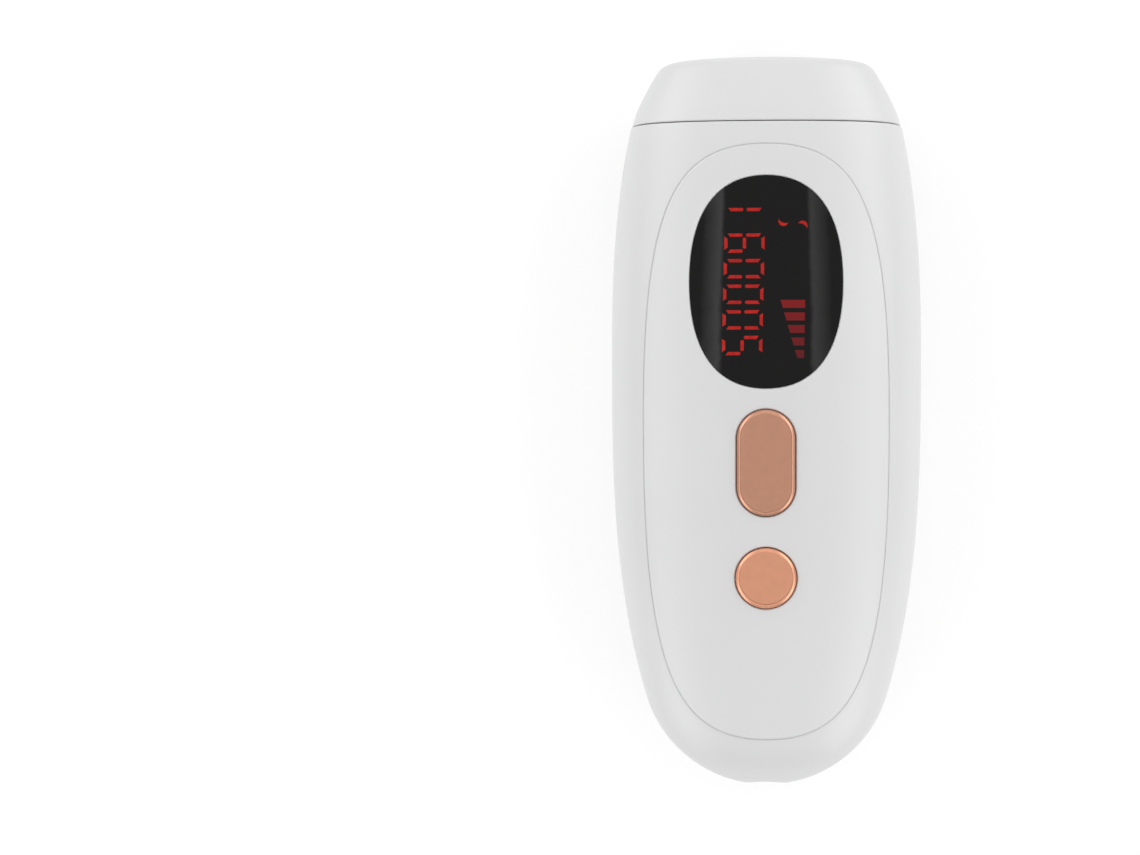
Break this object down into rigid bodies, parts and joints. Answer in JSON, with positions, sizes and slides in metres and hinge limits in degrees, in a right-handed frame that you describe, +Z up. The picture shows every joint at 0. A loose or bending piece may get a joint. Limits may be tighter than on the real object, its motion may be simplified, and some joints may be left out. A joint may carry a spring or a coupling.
{
  "type": "ipl hair remover",
  "caption": "Hand-held pulsed-light hair remover with a pull-off lamp head, counter display, oval flash button and round level button.",
  "frame": {"origin": "centre of the box's bottom face, on the surface that the device lies on", "axes": "+Z up out of the button and display face, +Y from the supply socket to the lamp window, +X to the right with the display read from above and the lamp window at the top"},
  "size_m": [0.077, 0.1794, 0.0467],
  "materials": {
    "white_casing": "satin white moulded ABS",
    "smoked_lens": "polished smoked acrylic",
    "rose_gold_paint": "satin metallic rose-gold paint",
    "label_film": "matt silver-grey film",
    "grey_plastic": "light grey moulded plastic",
    "black_plastic": "black moulded plastic",
    "plunger_plastic": "red moulded plastic",
    "circuit_board": "green solder mask on glass epoxy",
    "zinc_steel": "zinc-plated steel",
    "polished_steel": "polished steel",
    "bright_brass": "bright brass",
    "capacitor_sleeve": "dark blue shrink sleeve",
    "ferrite": "dark ferrite",
    "winding_tape": "yellow winding tape",
    "heatsink_aluminium": "extruded aluminium",
    "mirror_aluminium": "polished reflector sheet",
    "terminal_plastic": "green moulded plastic",
    "copper_winding": "enamelled copper",
    "red_silicone": "red silicone insulation",
    "ribbon_grey": "grey ribbon insulation",
    "fuse_glass": "clear glass",
    "lamp_quartz": "clear quartz",
    "lamp_ceramic": "white ceramic",
    "amber_filter": "amber filter glass",
    "black_rubber": "black silicone"
  },
  "bodies": {
    "casing": {"front_shell": "white_casing", "rear_shell": "white_casing", "housing_screws": "zinc_steel", "rating_label": "label_film", "display_lens": "smoked_lens", "led_display": "black_plastic", "ui_board": "circuit_board", "ui_board_screws": "zinc_steel", "ui_chip": "black_plastic", "buzzer": "black_plastic", "flash_switch": "black_plastic", "power_switch": "black_plastic", "main_board": "circuit_board", "main_board_screws": "zinc_steel", "flash_capacitors": "capacitor_sleeve", "capacitor_leads": "zinc_steel", "transformer_core": "ferrite", "transformer_winding": "winding_tape", "power_heatsink": "heatsink_aluminium", "power_transistor": "black_plastic", "trigger_coil": "black_plastic", "filter_capacitor": "capacitor_sleeve", "controller_chip": "black_plastic", "supply_fuse": "fuse_glass", "lamp_terminal_block": "terminal_plastic", "ribbon_connectors": "black_plastic", "ribbon_cable": "ribbon_grey", "fan_frame": "black_plastic", "fan_motor": "copper_winding", "fan_screws": "zinc_steel", "fan_leads": "red_silicone", "air_duct": "black_plastic", "lamp_dock": "grey_plastic", "dock_contacts": "bright_brass", "lamp_cables": "red_silicone", "inlet_collar": "black_plastic", "dc_jack": "black_plastic", "dc_jack_pin": "bright_brass", "jack_leads": "red_silicone"},
    "lamp_head": {"head_shell": "white_casing", "head_base": "grey_plastic", "contact_block": "black_plastic", "head_contact_pins": "bright_brass", "reflector": "mirror_aluminium", "xenon_lamp": "lamp_quartz", "lamp_electrodes": "zinc_steel", "lamp_holders": "lamp_ceramic", "lamp_terminals": "bright_brass", "filter_frame": "grey_plastic", "filter_glass": "amber_filter", "window_gasket": "black_rubber", "window_bezel": "grey_plastic", "skin_sensors": "polished_steel"},
    "flash_button": {"flash_button": "rose_gold_paint", "flash_switch_plunger": "plunger_plastic"},
    "power_button": {"power_button": "rose_gold_paint", "power_switch_plunger": "plunger_plastic"},
    "fan_rotor": {"fan_rotor": "black_plastic"}
  },
  "joints": [
    {"name": "lamp_head_pull", "type": "slide", "parent": "casing", "child": "lamp_head", "axis": [0, 1, 0], "range_m": [0, 0.03]},
    {"name": "flash_button_press", "type": "slide", "parent": "casing", "child": "flash_button", "axis": [0, 0, -1], "range_m": [0, 0.0005], "stiffness_N_per_m": 2500},
    {"name": "power_button_press", "type": "slide", "parent": "casing", "child": "power_button", "axis": [0, 0, -1], "range_m": [0, 0.0005], "stiffness_N_per_m": 2500},
    {"name": "fan_spin", "type": "hinge", "parent": "casing", "child": "fan_rotor", "pos_m": [0, 0.0355, 0.011], "axis": [0, 0, 1], "continuous": true}
  ]
}
